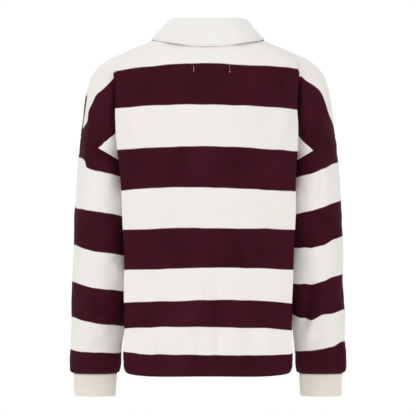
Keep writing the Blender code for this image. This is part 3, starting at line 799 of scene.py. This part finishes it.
def makeTube(name, places, hand, wall, material, **attributes):
    # both hands' tubes have their outside outwards
    order = slice(None, None, -hand)
    attributes = {kind: values[:, order] for kind, values in attributes.items()}
    return makeCloth(name, places[:, order], wall, material, closed=True, **attributes)


# the size and the area of what shows of each cut, laid flat, in metres
cuts = {
    "back_panel": ((0.800, 0.677), 0.309),
    "front_panel": ((0.840, 0.628), 0.300),
    "sleeve_left": ((0.347, 0.434), 0.127),
    "sleeve_right": ((0.347, 0.434), 0.127),
    "cuff_left": ((0.211, 0.041), 0.0083),
    "cuff_right": ((0.211, 0.041), 0.0083),
    "collar": ((0.631, 0.113), 0.0416),
    "placket_under": ((0.032, 0.158), 0.0049),
    "placket_upper": ((0.037, 0.165), 0.0059),
}


def dress(piece, node, *trims):
    for part in (piece, *trims):
        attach(part, "root")
    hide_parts(node)
    node in cuts


def layStitches(name, path, facing, material, length=2.6, gap=0.7, thick=0.55, sink=0.12):
    # a run of sewing stitches along a path of points, all copies of one modelled stitch
    bpy.ops.mesh.primitive_uv_sphere_add(segments=8, ring_count=5, radius=0.5)
    stitch = bpy.context.object
    shape = np.array([v.co[:] for v in stitch.data.vertices])[:, [2, 0, 1]]  # its poles at its ends
    faces = [np.array(p.vertices[:]) for p in stitch.data.polygons]
    bpy.data.objects.remove(stitch)
    far = lengths(path, 0)
    middles = np.arange(length / 2, far[-1] - length / 2, length + gap)

    def at(values, where):
        return np.stack([np.interp(where, far, values[:, i]) for i in range(3)], axis=-1)

    way = unit(at(path, middles + 0.6) - at(path, middles - 0.6))
    up = unit(at(facing, middles))
    beside = np.cross(up, way)
    spots = at(path, middles) + up * (thick / 2 - sink)
    sized = shape * (length, thick, thick)
    placed = (
        spots[:, None]
        + sized[None, :, :1] * way[:, None]
        + sized[None, :, 1:2] * beside[:, None]
        + sized[None, :, 2:] * up[:, None]
    )
    count = len(shape)
    mesh = bpy.data.meshes.new(name)
    allFaces = [(f + count * i).tolist() for i in range(len(middles)) for f in faces]
    mesh.from_pydata((placed.reshape(-1, 3) * mm).tolist(), [], allFaces)
    mesh.materials.append(material)
    piece = addObject(name, mesh)
    pick(piece)
    bpy.ops.object.mode_set(mode="EDIT")
    bpy.ops.mesh.select_all(action="SELECT")
    bpy.ops.mesh.normals_make_consistent(inside=False)
    bpy.ops.object.mode_set(mode="OBJECT")
    bpy.ops.object.shade_smooth()
    return piece


panelQuads = {
    "centre": 54,
    "crisp": 12,  # those of the centre's that stand close together before the fold
    "fold": 14,
    "arm": 40,
    "upper": 84,
    "lower": 84,
    "hem": 12,
    "edge": 0.03,  # the finely divided share beside a seam
}
tacks = (  # x, top, foot and thickness of the pale stitches below the collar
    (26.6, -38.5, -45.5, 0.35),
    (26.6, -45.5, -55.0, 0.65),
    (-37.8, -42.0, -52.5, 0.35),
    (-37.8, -52.5, -57.0, 0.9),
)


def panelHalf(face, hand):
    # places and stripes of half a panel, from the centre to the shoulder seam
    # rows and columns stand closest together at the seams, the crisp fold and the hem
    edge, centre, crisp = (panelQuads[name] for name in ("edge", "centre", "crisp"))
    rows = steps((0, 1 - edge / 3, panelQuads["upper"]), (1 - edge / 3, 1, 3),
                 (1, 1.965, panelQuads["lower"]), (1.965, 2, panelQuads["hem"]))
    columns = steps((0, 0.9, centre - crisp), (0.9, 1, crisp), (1, 2, panelQuads["fold"]),
                    (2, 3 - edge, panelQuads["arm"]), (3 - edge, 3, 4))
    row, column = np.meshgrid(rows, columns, indexing="ij")
    if face < 0:  # the cloth starts at the placket's slit
        slit = body["slit"] / read(front, "foldX", rows)[:, None]
        first = column[:, 1 : centre + 1]
        column[:, 1 : centre + 1] = slit + (1 - slit) * (first - first[:, :1]) / (1 - first[:, :1])
    slip = body["seamSlip"] * ease((row - 0.4) / 0.25) if hand > 0 else 0
    column = column - face * slip * np.clip(column - 2, 0, 1)
    places = bodyPoint(face, hand, row, np.minimum(column, 3))
    past = column > 3
    places[past] = bodyPoint(-face, hand, row, 6 - column)[past]
    stripes = bodyStripe(face, hand, row, column) + rumple(places, 130, 0.011, 3) + waver(places)
    return places, stripes, row, column


def panelRelief(face, places, column, toSeam, fromHem):
    # how far the cloth stands out from its smooth shape, with its rolls at the seams and the hem
    x, z = places[..., 0], places[..., 2]
    arm = ease((column - 1.7) / 0.5)
    relief = creased(bodyCreases, face, x, z) * (1 - arm) * ease((1.12 - column) / 0.2 + 0.35)
    relief = relief + creased(armCreases, face, x, z) * arm
    relief = relief + rumple(places, 95, 0.9, 5 + face) + rumple(places, 34, 0.22, 9 + face)
    relief = relief * ease(toSeam / body["quiet"])
    relief = relief - ridge(toSeam, body["seamRoll"]) * body["seamDip"]
    relief = relief - ridge(fromHem - body["hemStitch"], 1.1) * body["hemGroove"]
    relief = relief + ridge(fromHem - 3.2, 2.4) * body["hemSwell"]
    if face < 0:  # flat under the placket
        return relief * ease((np.abs(x) - 12) / 14)
    share = ease((patch["halfWide"] - np.abs(x - patch["x"])) / patch["blur"])
    share = share * ease((patch["halfTall"] - np.abs(z - patch["z"])) / patch["blur"])
    return relief + patch["raised"] * share


def layTacks(places, out, upper):
    # each follows a column of the grid, in its rows above the underarm
    middle = places.shape[1] // 2
    pieces = []
    for count, (tackX, top, foot, thick) in enumerate(tacks):
        drops = np.linspace(-top, -foot, 12)
        down = np.round(np.interp(drops, -places[:upper, middle, 2], np.arange(upper))).astype(int)
        beside = int(np.argmin(np.abs(places[down[0], :, 0] - tackX)))
        path, facing = places[down, beside], out[down, beside]
        name = f"label_tack_{count + 1}"
        pieces.append(
            layStitches(name, path, facing, creamThread, length=3.2, gap=0.4, thick=thick)
        )
    return pieces


def makePanel(face, name):
    left, right = panelHalf(face, 1), panelHalf(face, -1)
    halves = zip(left, right)
    places, stripes, row, column = (np.concatenate([r[:, :0:-1], l], axis=1) for l, r in halves)
    out = normals(places) * face
    middle, underarm = places.shape[1] // 2, int(np.argmin(np.abs(row[:, 0] - 1)))
    aside = panelQuads["centre"] + panelQuads["fold"]
    first, last = middle - aside, middle + aside  # the side seams' columns
    fromRight, fromNeck = lengths(places, 1), lengths(places, 0)
    fromHem = fromNeck[-1:] - fromNeck
    toSide = [np.abs(fromRight - fromRight[:, side][:, None]) for side in (first, last)]
    toArmhole = np.where(column > 2, np.abs(fromNeck[underarm][None] - fromNeck), np.inf)
    toEnds = np.minimum(fromRight[:, -1:] - fromRight, fromRight)
    toSeam = np.where(row > 1, np.minimum(*toSide), np.minimum(toEnds, toArmhole))
    places = places + out * panelRelief(face, places, column, toSeam, fromHem)[..., None]

    # back and front stop half a seam's gap short of each other
    for side in (first, last):
        places[underarm:, side, 1] += face * body["seamGap"] / 2
        places[underarm, side, 1] += face * body["underarmGap"]
    for end, inward in ((0, 1), (-1, -2)):
        step = unit(places[: underarm + 1, inward] - places[: underarm + 1, end])
        places[: underarm + 1, end] += step * body["seamGap"]

    dropped = np.zeros((places.shape[0] - 1, places.shape[1] - 1), bool)
    dropped[underarm:, :first] = dropped[underarm:, last:] = True
    if face < 0:
        dropped[:underarm, middle - 1 : middle + 1] = True
        places, stripes, dropped, out = (grid[:, ::-1] for grid in (places, stripes, dropped, out))
    piece = makeCloth(name, places, body["wall"], jersey, dropped=dropped, stripe=stripes)
    hem = int(np.argmin(np.abs(fromHem[:, middle] - body["hemStitch"])))
    path, facing = places[hem, first:last], out[hem, first:last]
    seams = layTacks(places, out, underarm) if face > 0 else []
    return piece, seams + [layStitches(f"{name}_hem_stitches", path, facing, burgundyThread)]


for face, side in ((1, "back"), (-1, "front")):
    panel, seams = makePanel(face, f"{side}_cloth")
    dress(panel, f"{side}_panel", *seams)
print("back and front made")


sleeveCut = {
    "around": 108,
    "along": 118,
    "end": 16,
    "length": 430,
    "gathers": 17,
    "gatherDepth": 0.9,
    "gatherLength": 17,
    "tuckUnder": 1.3,  # how far its edge goes under the armhole's
    "foldX": 214.5,  # where the left one's long crease stands outside the stripes behind
    "foldZ": -215,
    "foldLean": 0.03,
    "foldShift": 0.038,  # how far it has carried the stripe outside it, of the length
    "swayFrom": 149,  # the sway's columns, from the inner line to the outer one
    "swayWidth": 91,
}


def makeSleeve(hand, side):
    cut = sleeveCut
    # rows stand closest together where it goes under the armhole and at its gathers
    along = steps((0, 0.012, 6), (0.012, 0.95, cut["along"]), (0.95, 1, cut["end"]))
    along, turn = np.meshgrid(along, np.arange(cut["around"]) / cut["around"], indexing="ij")
    places = sleevePoint(hand, along, turn)
    x, z = places[..., 0], places[..., 2]
    circle = turn * 2 * math.pi
    behind = ease(0.5 + np.sin(circle) * 1.6)
    relief = creased(armCreases, 1, x, z) * behind + creased(armCreases, -1, x, z) * (1 - behind)
    relief = relief + rumple(places, 80, 1.0, 31 + hand) + rumple(places, 30, 0.3, 41 + hand)
    drop = along * cut["length"]
    rise = cut["length"] - drop
    relief = relief * ease((drop - 2) / 20) * ease((rise - 4) / 16)
    gather = np.sin(circle * cut["gathers"] + 1.3 * np.sin(turn * 19)) * cut["gatherDepth"]
    relief = relief + gather * ridge(rise, cut["gatherLength"]) * ease(rise / 5)
    relief = relief - body["seamDip"] * (ridge(drop, body["seamRoll"]) + 0.6 * ridge(rise, 2.5))
    relief = relief - cut["tuckUnder"] * (1 - ease(drop / 1.2))
    places = places + tubeNormals(places, hand) * relief[..., None]
    across = (np.abs(x) - cut["swayFrom"]) / cut["swayWidth"]
    sway = swayAt(leftSway if hand > 0 else rightSway, along, across)
    level = along - sway / cut["length"] * behind
    if hand > 0:
        outside = ease((x - cut["foldX"] - cut["foldLean"] * (cut["foldZ"] - z)) / 2.4)
        level = level + cut["foldShift"] * outside * behind * ease((0.36 - along) / 0.2)
    stripes = np.interp(level, sleeveStripes, 1 + np.arange(len(sleeveStripes))) + waver(places)
    return makeTube(f"sleeve_cloth_{side}", places, hand, body["wall"], jersey, stripe=stripes)


cuffCut = {"ribs": 76, "perRib": 8, "rows": 26, "length": 40, "wall": 2.0, "ribDepth": 0.3}

cuffLines = table(
    "along outX inX y z back front",
    (0,   243.4, 165.2, -22.5, -593.2, 31, 32),
    (0.4, 242.2, 166.2, -23.5, -606,   30, 31),
    (1,   242,   167.4, -25,   -633.5, 29, 30),
)


def makeCuff(hand, side):
    around = cuffCut["ribs"] * cuffCut["perRib"]
    along = np.linspace(0, 1, cuffCut["rows"] + 1)
    along, turn = np.meshgrid(along, np.arange(around) / around, indexing="ij")
    inner, outer = (line(cuffLines, f"{edge}X y z", along) for edge in ("in", "out"))
    places = tubePoint(cuffLines, along, turn, inner, outer) * (hand, 1, 1)
    furrow = 0.5 - 0.5 * np.cos(turn * 2 * math.pi * cuffCut["ribs"])
    relief = -furrow * cuffCut["ribDepth"] + rumple(places, 30, 0.5, 61 + hand)
    relief = relief - 0.7 * ridge((1 - along) * cuffCut["length"], 1.2)
    relief = relief - 0.5 * ridge(along * cuffCut["length"], 1.5)
    places = places + tubeNormals(places, hand) * relief[..., None]
    return makeTube(f"cuff_rib_{side}", places, hand, cuffCut["wall"], rib, furrow=furrow)


for kind, make in (("sleeve", makeSleeve), ("cuff", makeCuff)):
    for side, hand in (("left", 1), ("right", -1)):
        dress(make(hand, side), f"{kind}_{side}")
    print(f"{kind}s made")

# its half from the centre back (0) to its front edge (1): foot of the stand, top fold, and edge
collarLines = table(
    "round footX footY footZ topX topY topZ edgeX edgeY edgeZ",
    (0,    0,    61.4,  11.2, 0,    64,   40.8, 0,   85.8, -8),
    (0.16, 25.5, 57.5,  11.8, 28,   60.4, 41.8, 31,  83,   -6.7),
    (0.32, 46.2, 43.2,  13.5, 52,   44.6, 43.3, 66,  73.2, 0),
    (0.46, 62.6, 21,    15.8, 69.5, 18,   42,   91,  43,   5.5),
    (0.56, 68,   -3,    15.8, 71.8, -7,   36.8, 102, 0,    10.8),
    (0.68, 63.2, -30,   0,    66,   -33,  24,   99,  -42,  -4.5),
    (0.8,  49.5, -52.5, -27,  51,   -56,  1,    87,  -76,  -40),
    (0.9,  28.5, -66.5, -51,  30,   -70,  -17,  71,  -92,  -68),
    (1,    2,    -72.2, -62,  5,    -76,  -29,  52,  -101, -92),
)

collarCut = {
    "round": 96,
    "stand": 10,
    "fall": 34,
    "rise": 9.0,  # how far the stand rises straight before it curves, and the fall before it turns
    "wall": 2.0,
    "stitchIn": 2.6,
    "edgeTuck": 1.5,
}


def collarPoint(hand, roundNeck, over):
    foot, top, edge = (
        line(collarLines, f"{name}X {name}Y {name}Z", roundNeck) for name in ("foot", "top", "edge")
    )
    rise = point(0, 0, collarCut["rise"])
    stand = bezier(np.clip(over, 0, 1), foot, foot + rise, top - rise, top)
    fall = bezier(np.clip(over - 1, 0, 1), top, top + rise, edge + 0.35 * (top - edge), edge)
    return np.where(over[..., None] <= 1, stand, fall) * (hand, 1, 1)


def makeCollar():
    along = steps((0, 0.97, collarCut["round"]), (0.97, 1, 6))
    over = steps((0, 1, collarCut["stand"]), (1, 1.9, collarCut["fall"]), (1.9, 2, 8))
    roundNeck, over = np.meshgrid(along, over)
    left, right = collarPoint(1, roundNeck, over), collarPoint(-1, roundNeck, over)
    places = np.concatenate([right[:, :0:-1], left], axis=1)
    over = np.concatenate([over[:, :0:-1], over], axis=1)
    out = normals(places)
    toLower = np.linalg.norm(places - places[-1:], axis=-1)
    toRight, toLeft = (np.linalg.norm(places - places[:, end][:, None], axis=-1) for end in (0, -1))
    toEdge = np.minimum(toLower, np.where(over > 1, np.minimum(toRight, toLeft), np.inf))
    relief = rumple(places, 60, 0.6, 77) + rumple(places, 22, 0.16, 79)
    relief = relief * ease((over - 1.15) / 0.3)  # the stand stays smooth
    relief = relief - 0.35 * ridge(toEdge - collarCut["stitchIn"], 0.9)
    relief = relief - collarCut["edgeTuck"] * ridge(toEdge, 9) * ease(over - 1)
    places = places + out * relief[..., None]
    piece = makeCloth("collar_cloth", places, collarCut["wall"], twill, edge=0.6)
    seam = int(np.argmin(np.abs(toLower[:, places.shape[1] // 2] - collarCut["stitchIn"])))
    path, facing = places[seam, 3:-3], out[seam, 3:-3]
    return piece, layStitches("collar_stitches", path, facing, creamThread, thick=0.5)


collarPiece, collarSeam = makeCollar()
dress(collarPiece, "collar", collarSeam)
print("collar made")

placketCut = {
    "halfWidth": 18.0,
    "across": 36,  # quads
    "down": 110,
    "top": 0.006,  # rows of the front
    "foot": 1.01,
    "wall": 1.6,
    "lift": 2.1,  # how far the upper band stands off the front's own surface
    "underHalf": 15.8,
    "underFoot": 0.994,
    "stitchIn": 2.4,
    "puff": 0.5,
    "holeHalf": 8.2,  # half a buttonhole's length
}


buttonCut = {
    "drops": {"button_top": 24.0, "button_middle": 68.0, "button_bottom": 112.0},
    "radius": 5.7,
    "thick": 2.3,
    "dish": 3.9,  # the radius of its floor
    "dishSlope": 0.8,
    "dishDepth": 0.7,
    "hole": 0.8,
    "holesApart": 2.6,
    "thread": 0.26,
    "lift": 2.6,
}


def rowAtDrop(drop):
    # the front's row at a height below its neck
    rows = np.linspace(0, 1, 201)
    return np.interp(drop, read(front, "centreZ", 0) - read(front, "centreZ", rows), rows)


def frontStrip(halfWidth, top, foot, lift, across, down):
    # a grid at a height above the middle of the front, from one row to another, and its normals
    rows = np.linspace(top, foot, down + 1)
    row, x = np.meshgrid(rows, np.linspace(-halfWidth, halfWidth, across + 1), indexing="ij")
    column = np.abs(x) / read(front, "foldX", row)
    places = bodyPoint(-1, 1, row, column)
    places[..., 0] = x
    down = bodyPoint(-1, 1, row + 0.01, column) - places
    facing = unit(point(0, down[..., 2], -down[..., 1]))
    return places + facing * lift, facing


def makePlacket():
    cut = placketCut
    under, _ = frontStrip(cut["underHalf"], cut["top"], cut["underFoot"], 0, 12, 70)
    upper, facing = frontStrip(
        cut["halfWidth"], cut["top"], cut["foot"], cut["lift"], cut["across"], cut["down"]
    )
    middle = cut["across"] // 2
    toFoot = np.linalg.norm(upper - upper[-1:], axis=-1)
    toEdge = np.minimum(cut["halfWidth"] - np.abs(upper[..., 0]), toFoot)
    relief = cut["puff"] * ease(toEdge / 6) - 0.45 * ridge(toEdge - cut["stitchIn"], 0.8)
    upper = upper + facing * (relief + rumple(upper, 30, 0.25, 91))[..., None]
    underBand = makeCloth("placket_band_under", under[:, ::-1], cut["wall"], twill)
    upperBand = makeCloth("placket_band_upper", upper[:, ::-1], cut["wall"], twill, edge=0.5)

    # down one side, across the foot and up the other
    inset = int(round(cut["stitchIn"] / cut["halfWidth"] * middle))
    foot = int(np.argmin(np.abs(toFoot[:, middle] - cut["stitchIn"])))
    down, across = slice(3, foot + 1), slice(inset, -inset)
    path, face = (
        np.concatenate([grid[down, inset], grid[foot, across], grid[down, -1 - inset][::-1]])
        for grid in (upper, facing)
    )
    seams = [layStitches("placket_stitches", path, face, creamThread, thick=0.5)]
    for node, drop in buttonCut["drops"].items():
        ends = [rowAtDrop(drop + way * cut["holeHalf"]) for way in (-1, 1)]
        rim = frontStrip(0.75, *ends, cut["lift"] + cut["puff"], 2, 14)
        path, face = (np.concatenate([grid[:, 0], grid[::-1, 2], grid[:1, 0]]) for grid in rim)
        name = node.replace("button", "buttonhole")
        seams.append(
            layStitches(name, path, face, creamThread, length=0.9, gap=0.1, thick=0.85, sink=0.3)
        )
    return underBand, upperBand, seams


underBand, upperBand, placketSeams = makePlacket()
dress(underBand, "placket_under")
dress(upperBand, "placket_upper", *placketSeams)


def makeButton(name):
    cut = buttonCut
    thick = cut["thick"] * mm
    bpy.ops.mesh.primitive_cylinder_add(
        vertices=48, radius=cut["radius"] * mm, depth=thick, location=(0, 0, thick / 2)
    )
    button = bpy.context.object
    button.name = name
    bpy.ops.object.transform_apply(location=True, rotation=False, scale=False)
    bpy.ops.object.mode_set(mode="EDIT")
    bpy.ops.mesh.select_all(action="DESELECT")
    bpy.ops.object.mode_set(mode="OBJECT")
    for face in button.data.polygons:
        face.select = face.normal.z > 0.9
    bpy.ops.object.mode_set(mode="EDIT")
    bpy.ops.mesh.select_mode(type="FACE")
    bpy.ops.mesh.inset(thickness=(cut["radius"] - cut["dish"] - cut["dishSlope"]) * mm)
    bpy.ops.mesh.inset(thickness=cut["dishSlope"] * mm, depth=-cut["dishDepth"] * mm)
    bpy.ops.object.mode_set(mode="OBJECT")
    finishWith(button, "BEVEL", width=0.45 * mm, segments=3, angle_limit=math.radians(25))
    for i, j in ((1, 1), (1, -1), (-1, 1), (-1, -1)):
        spot = (i * cut["holesApart"] / 2 * mm, j * cut["holesApart"] / 2 * mm, 0)
        bpy.ops.mesh.primitive_cylinder_add(
            vertices=16, radius=cut["hole"] * mm, depth=8 * mm, location=spot
        )
        drill = bpy.context.object
        pick(button)
        finishWith(button, "BOOLEAN", object=drill, operation="DIFFERENCE", solver="EXACT")
        bpy.data.objects.remove(drill)
    button.data.materials.clear()
    button.data.materials.append(shell)
    bpy.ops.object.shade_smooth_by_angle(angle=math.radians(35))
    return button


def buttonThread(name):
    cut = buttonCut
    apart, height = cut["holesApart"] / 2, cut["thick"] - cut["dishDepth"] - 0.45
    runs = []
    for j in (1, -1):
        for k in (-0.22, 0.22):  # two strands lie side by side in each pair of holes
            bpy.ops.mesh.primitive_torus_add(
                major_segments=24,
                minor_segments=8,
                major_radius=apart * mm,
                minor_radius=cut["thread"] * mm,
                location=(0, (j * apart + k) * mm, height * mm),
                rotation=(math.pi / 2, 0, 0),
            )
            runs.append(bpy.context.object)
    pick(*runs)
    bpy.ops.object.join()
    thread = bpy.context.object
    thread.name = name
    bpy.ops.object.transform_apply(location=True, rotation=True, scale=True)
    thread.scale = (1, 1, 0.8)
    bpy.ops.object.transform_apply(location=False, rotation=False, scale=True)
    thread.data.materials.clear()
    thread.data.materials.append(creamThread)
    bpy.ops.object.shade_smooth()
    return thread


def placeOnBand(pieces, drop):
    row = rowAtDrop(drop)
    seat, facing = frontStrip(1, row, row + 0.01, buttonCut["lift"], 2, 2)
    turn = Vector(facing[0, 1]).to_track_quat("Z", "Y")
    for piece in pieces:
        piece.location = Vector(seat[0, 1]) * mm
        piece.rotation_euler = turn.to_euler()
        pick(piece)
        bpy.ops.object.transform_apply(location=True, rotation=True, scale=False)


for node, drop in buttonCut["drops"].items():
    button, thread = makeButton(f"{node}_shell"), buttonThread(f"{node}_thread")
    placeOnBand((button, thread), drop)
    dress(button, node, thread)
print("placket and buttons made")


studio = {
    "floor": -0.95,
    "distance": 3.6,  # from the camera to the origin
    "pixel": 0.0018,  # metres to a pixel of the picture at the origin's depth
    "pixels": 416,
    "middle": -0.2934,  # the picture's height
    "world": 0.72,
    "ambient": (1.0, 0.982, 0.955, 1),
    "lamp": (0.985, 0.995, 1.0),
}

bpy.ops.mesh.primitive_circle_add(
    vertices=64, radius=2.5, fill_type="NGON", location=(0, 0, studio["floor"])
)
floor = bpy.context.object
floor.name = "studio_floor"
paper = Shade("pale_paper", Roughness=0.9, Specular_IOR_Level=0.1)
mottle = paper.mix(paper.noise(paper.place(), 3.0), (0.93, 0.93, 0.93, 1), (0.95, 0.95, 0.95, 1))
floor.data.materials.append(paper.finish(Base_Color=mottle))

world = bpy.context.scene.world or bpy.data.worlds.new("studio")
bpy.context.scene.world = world
world.use_nodes = True
nodes, link = world.node_tree.nodes, world.node_tree.links.new
backdrop, seen = nodes["Background"], nodes.new("ShaderNodeLightPath").outputs["Is Camera Ray"]
strength, warmth = nodes.new("ShaderNodeMapRange"), nodes.new("ShaderNodeMix")
warmth.data_type = "RGBA"  # white behind the shirt, softer and warmer as its light
strength.inputs["To Min"].default_value = studio["world"]
warmth.inputs[6].default_value, warmth.inputs[7].default_value = studio["ambient"], (1, 1, 1, 1)
link(seen, strength.inputs["Value"])
link(seen, warmth.inputs[0])
link(strength.outputs["Result"], backdrop.inputs["Strength"])
link(warmth.outputs[2], backdrop.inputs["Color"])

lights = {  # place, watts, size
    "key": ((2.7, 2.2, 1.5), 18.5, 1.0),
    "fill": ((-2.6, 2.5, 0.6), 11.0, 1.8),
    "behind_camera": ((0.3, 4.3, 0.1), 24.0, 1.6),
    "front_left": ((2.3, -2.6, 1.5), 22.0, 1.6),
    "front_right": ((-2.4, -2.6, 0.8), 12.0, 2.0),
    "top": ((0.0, 0.2, 2.6), 10.0, 2.4),
}
aim = Vector((0, 0, studio["middle"]))
for name, (place, watts, size) in lights.items():
    lamp = bpy.data.lights.new(name, "AREA")
    lamp.energy, lamp.size, lamp.color = watts, size, studio["lamp"]
    holder = addObject(name, lamp)
    holder.location = place
    holder.rotation_euler = (aim - Vector(place)).to_track_quat("-Z", "Y").to_euler()

lens = bpy.data.cameras.new("camera")
lens.sensor_width = 36.0
lens.lens = lens.sensor_width * studio["distance"] / (studio["pixels"] * studio["pixel"])
camera = addObject("camera", lens)
camera.location = (0, studio["distance"], studio["middle"])
camera.rotation_euler = (math.pi / 2, 0, math.pi)
bpy.context.scene.camera = camera
bpy.context.scene.view_settings.view_transform = "Standard"
print("studio made")
